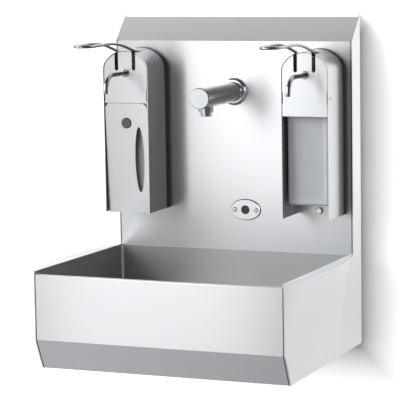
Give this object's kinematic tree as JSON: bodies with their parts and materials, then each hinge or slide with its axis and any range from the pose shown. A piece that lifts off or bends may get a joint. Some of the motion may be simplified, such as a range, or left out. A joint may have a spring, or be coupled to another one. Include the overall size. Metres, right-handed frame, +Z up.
{
  "type": "wall-hung hand wash sink",
  "caption": "Wall-hung stainless steel hand wash basin with a tall splashback, a sensor tap and arm-lever soap and sanitizer dispensers.",
  "frame": {"origin": "centre of the four wall fixing holes, in the plane of the wall", "axes": "+X to the viewer's right, +Y into the wall, +Z up; the basin stands out towards -Y"},
  "size_m": [0.55, 0.438, 0.65],
  "materials": {
    "brushed_sheet": "horizontal brushed grain, satin",
    "rail_steel": "dull rolled sheet",
    "dispenser_steel": "fine brushed grain, satin",
    "chrome": "polished",
    "lock_metal": "blackened, satin",
    "fastener_steel": "bright turned",
    "drain_steel": "satin",
    "pipe_steel": "drawn, satin",
    "brass": "cast and turned",
    "spring_steel": "drawn wire",
    "black_plastic": "moulded, slight sheen",
    "white_plastic": "moulded",
    "bottle_plastic": "blow moulded, milky grey",
    "grey_plastic": "moulded",
    "rubber": "matte",
    "sensor_window": "gloss, dark tinted"
  },
  "bodies": {
    "root": {"aerator_housing": "chrome", "aerator_insert": "grey_plastic", "basin_bowl": "brushed_sheet", "bottle_rests": "rail_steel", "control_box": "black_plastic", "control_box_lid": "black_plastic", "drain_body": "drain_steel", "drain_gasket": "rubber", "drain_nut": "brass", "drain_strainer": "drain_steel", "front_apron": "brushed_sheet", "front_plate_rivets": "fastener_steel", "housing_screws": "fastener_steel", "inlet_pipe": "pipe_steel", "left_side_panel": "brushed_sheet", "lever_axles": "fastener_steel", "lever_brackets": "rail_steel", "mounting_rails": "rail_steel", "pump_bodies": "white_plastic", "right_side_panel": "brushed_sheet", "sanitizer_bottle": "bottle_plastic", "sanitizer_front_plate": "dispenser_steel", "sanitizer_housing": "dispenser_steel", "sanitizer_pump_spring": "spring_steel", "sensor_module": "black_plastic", "sensor_plate": "chrome", "sensor_screws": "fastener_steel", "sensor_seal": "rubber", "sensor_window": "sensor_window", "soap_bottle": "bottle_plastic", "soap_door_hinge_pins": "fastener_steel", "soap_front_plate": "dispenser_steel", "soap_housing": "dispenser_steel", "soap_pump_spring": "spring_steel", "solenoid_body": "brass", "solenoid_coil": "black_plastic", "splashback_panel": "brushed_sheet", "spouts": "chrome", "stop_valve_body": "brass", "tap_body": "chrome", "tap_end_cap": "chrome", "tap_fixing_nut": "brass", "tap_pipe": "pipe_steel", "tap_rosette": "chrome", "tap_seal_washer": "rubber", "trap_body": "white_plastic", "trap_nuts": "white_plastic", "trap_outlet_pipe": "white_plastic", "wall_plate_screws": "fastener_steel", "wall_plates": "black_plastic"},
    "soap_arm": {"soap_lever": "chrome"},
    "sanitizer_arm": {"sanitizer_lever": "chrome"},
    "soap_plunger": {"soap_pump_plunger": "white_plastic"},
    "sanitizer_plunger": {"sanitizer_pump_plunger": "white_plastic"},
    "door": {"soap_door": "dispenser_steel", "soap_door_lock": "lock_metal"},
    "lock_plug": {"soap_lock_cam": "lock_metal"},
    "valve_armature": {"solenoid_plunger": "spring_steel"},
    "stop_knob": {"stop_valve_knob": "black_plastic"}
  },
  "joints": [
    {"name": "soap_lever_press", "type": "hinge", "parent": "root", "child": "soap_arm", "pos_m": [-0.187, -0.0735, 0.237], "axis": [1, 0, 0], "range_deg": [0, 23], "stiffness_Nm_per_rad": 0.65, "springref_deg": -34.38},
    {"name": "soap_pump", "type": "slide", "parent": "root", "child": "soap_plunger", "axis": [0, 0, -1], "range_m": [0, 0.0105], "deforming": ["soap_pump_spring"]},
    {"name": "sanitizer_lever_press", "type": "hinge", "parent": "root", "child": "sanitizer_arm", "pos_m": [0.187, -0.0735, 0.237], "axis": [1, 0, 0], "range_deg": [0, 23], "stiffness_Nm_per_rad": 0.65, "springref_deg": -34.38},
    {"name": "sanitizer_pump", "type": "slide", "parent": "root", "child": "sanitizer_plunger", "axis": [0, 0, -1], "range_m": [0, 0.0105], "deforming": ["sanitizer_pump_spring"]},
    {"name": "soap_door_swing", "type": "hinge", "parent": "root", "child": "door", "pos_m": [-0.187, -0.1, -0.058], "axis": [1, 0, 0], "range_deg": [0, 95]},
    {"name": "soap_lock_turn", "type": "hinge", "parent": "door", "child": "lock_plug", "pos_m": [-0.187, -0.14426, 0.11199], "axis": [0, -0.9993, -0.0366], "range_deg": [0, 90]},
    {"name": "solenoid_travel", "type": "slide", "parent": "root", "child": "valve_armature", "axis": [1, 0, 0], "range_m": [0, 0.002], "stiffness_N_per_m": 300, "springref_m": -0.004},
    {"name": "stop_valve_turn", "type": "hinge", "parent": "root", "child": "stop_knob", "pos_m": [-0.15, -0.024, -0.23], "axis": [0, 0, 1], "range_deg": [0, 90]}
  ],
  "couplings": [
    {"joint": "soap_pump", "follows": "soap_lever_press", "m_per_rad": 0.0253},
    {"joint": "sanitizer_pump", "follows": "sanitizer_lever_press", "m_per_rad": 0.0253}
  ]
}
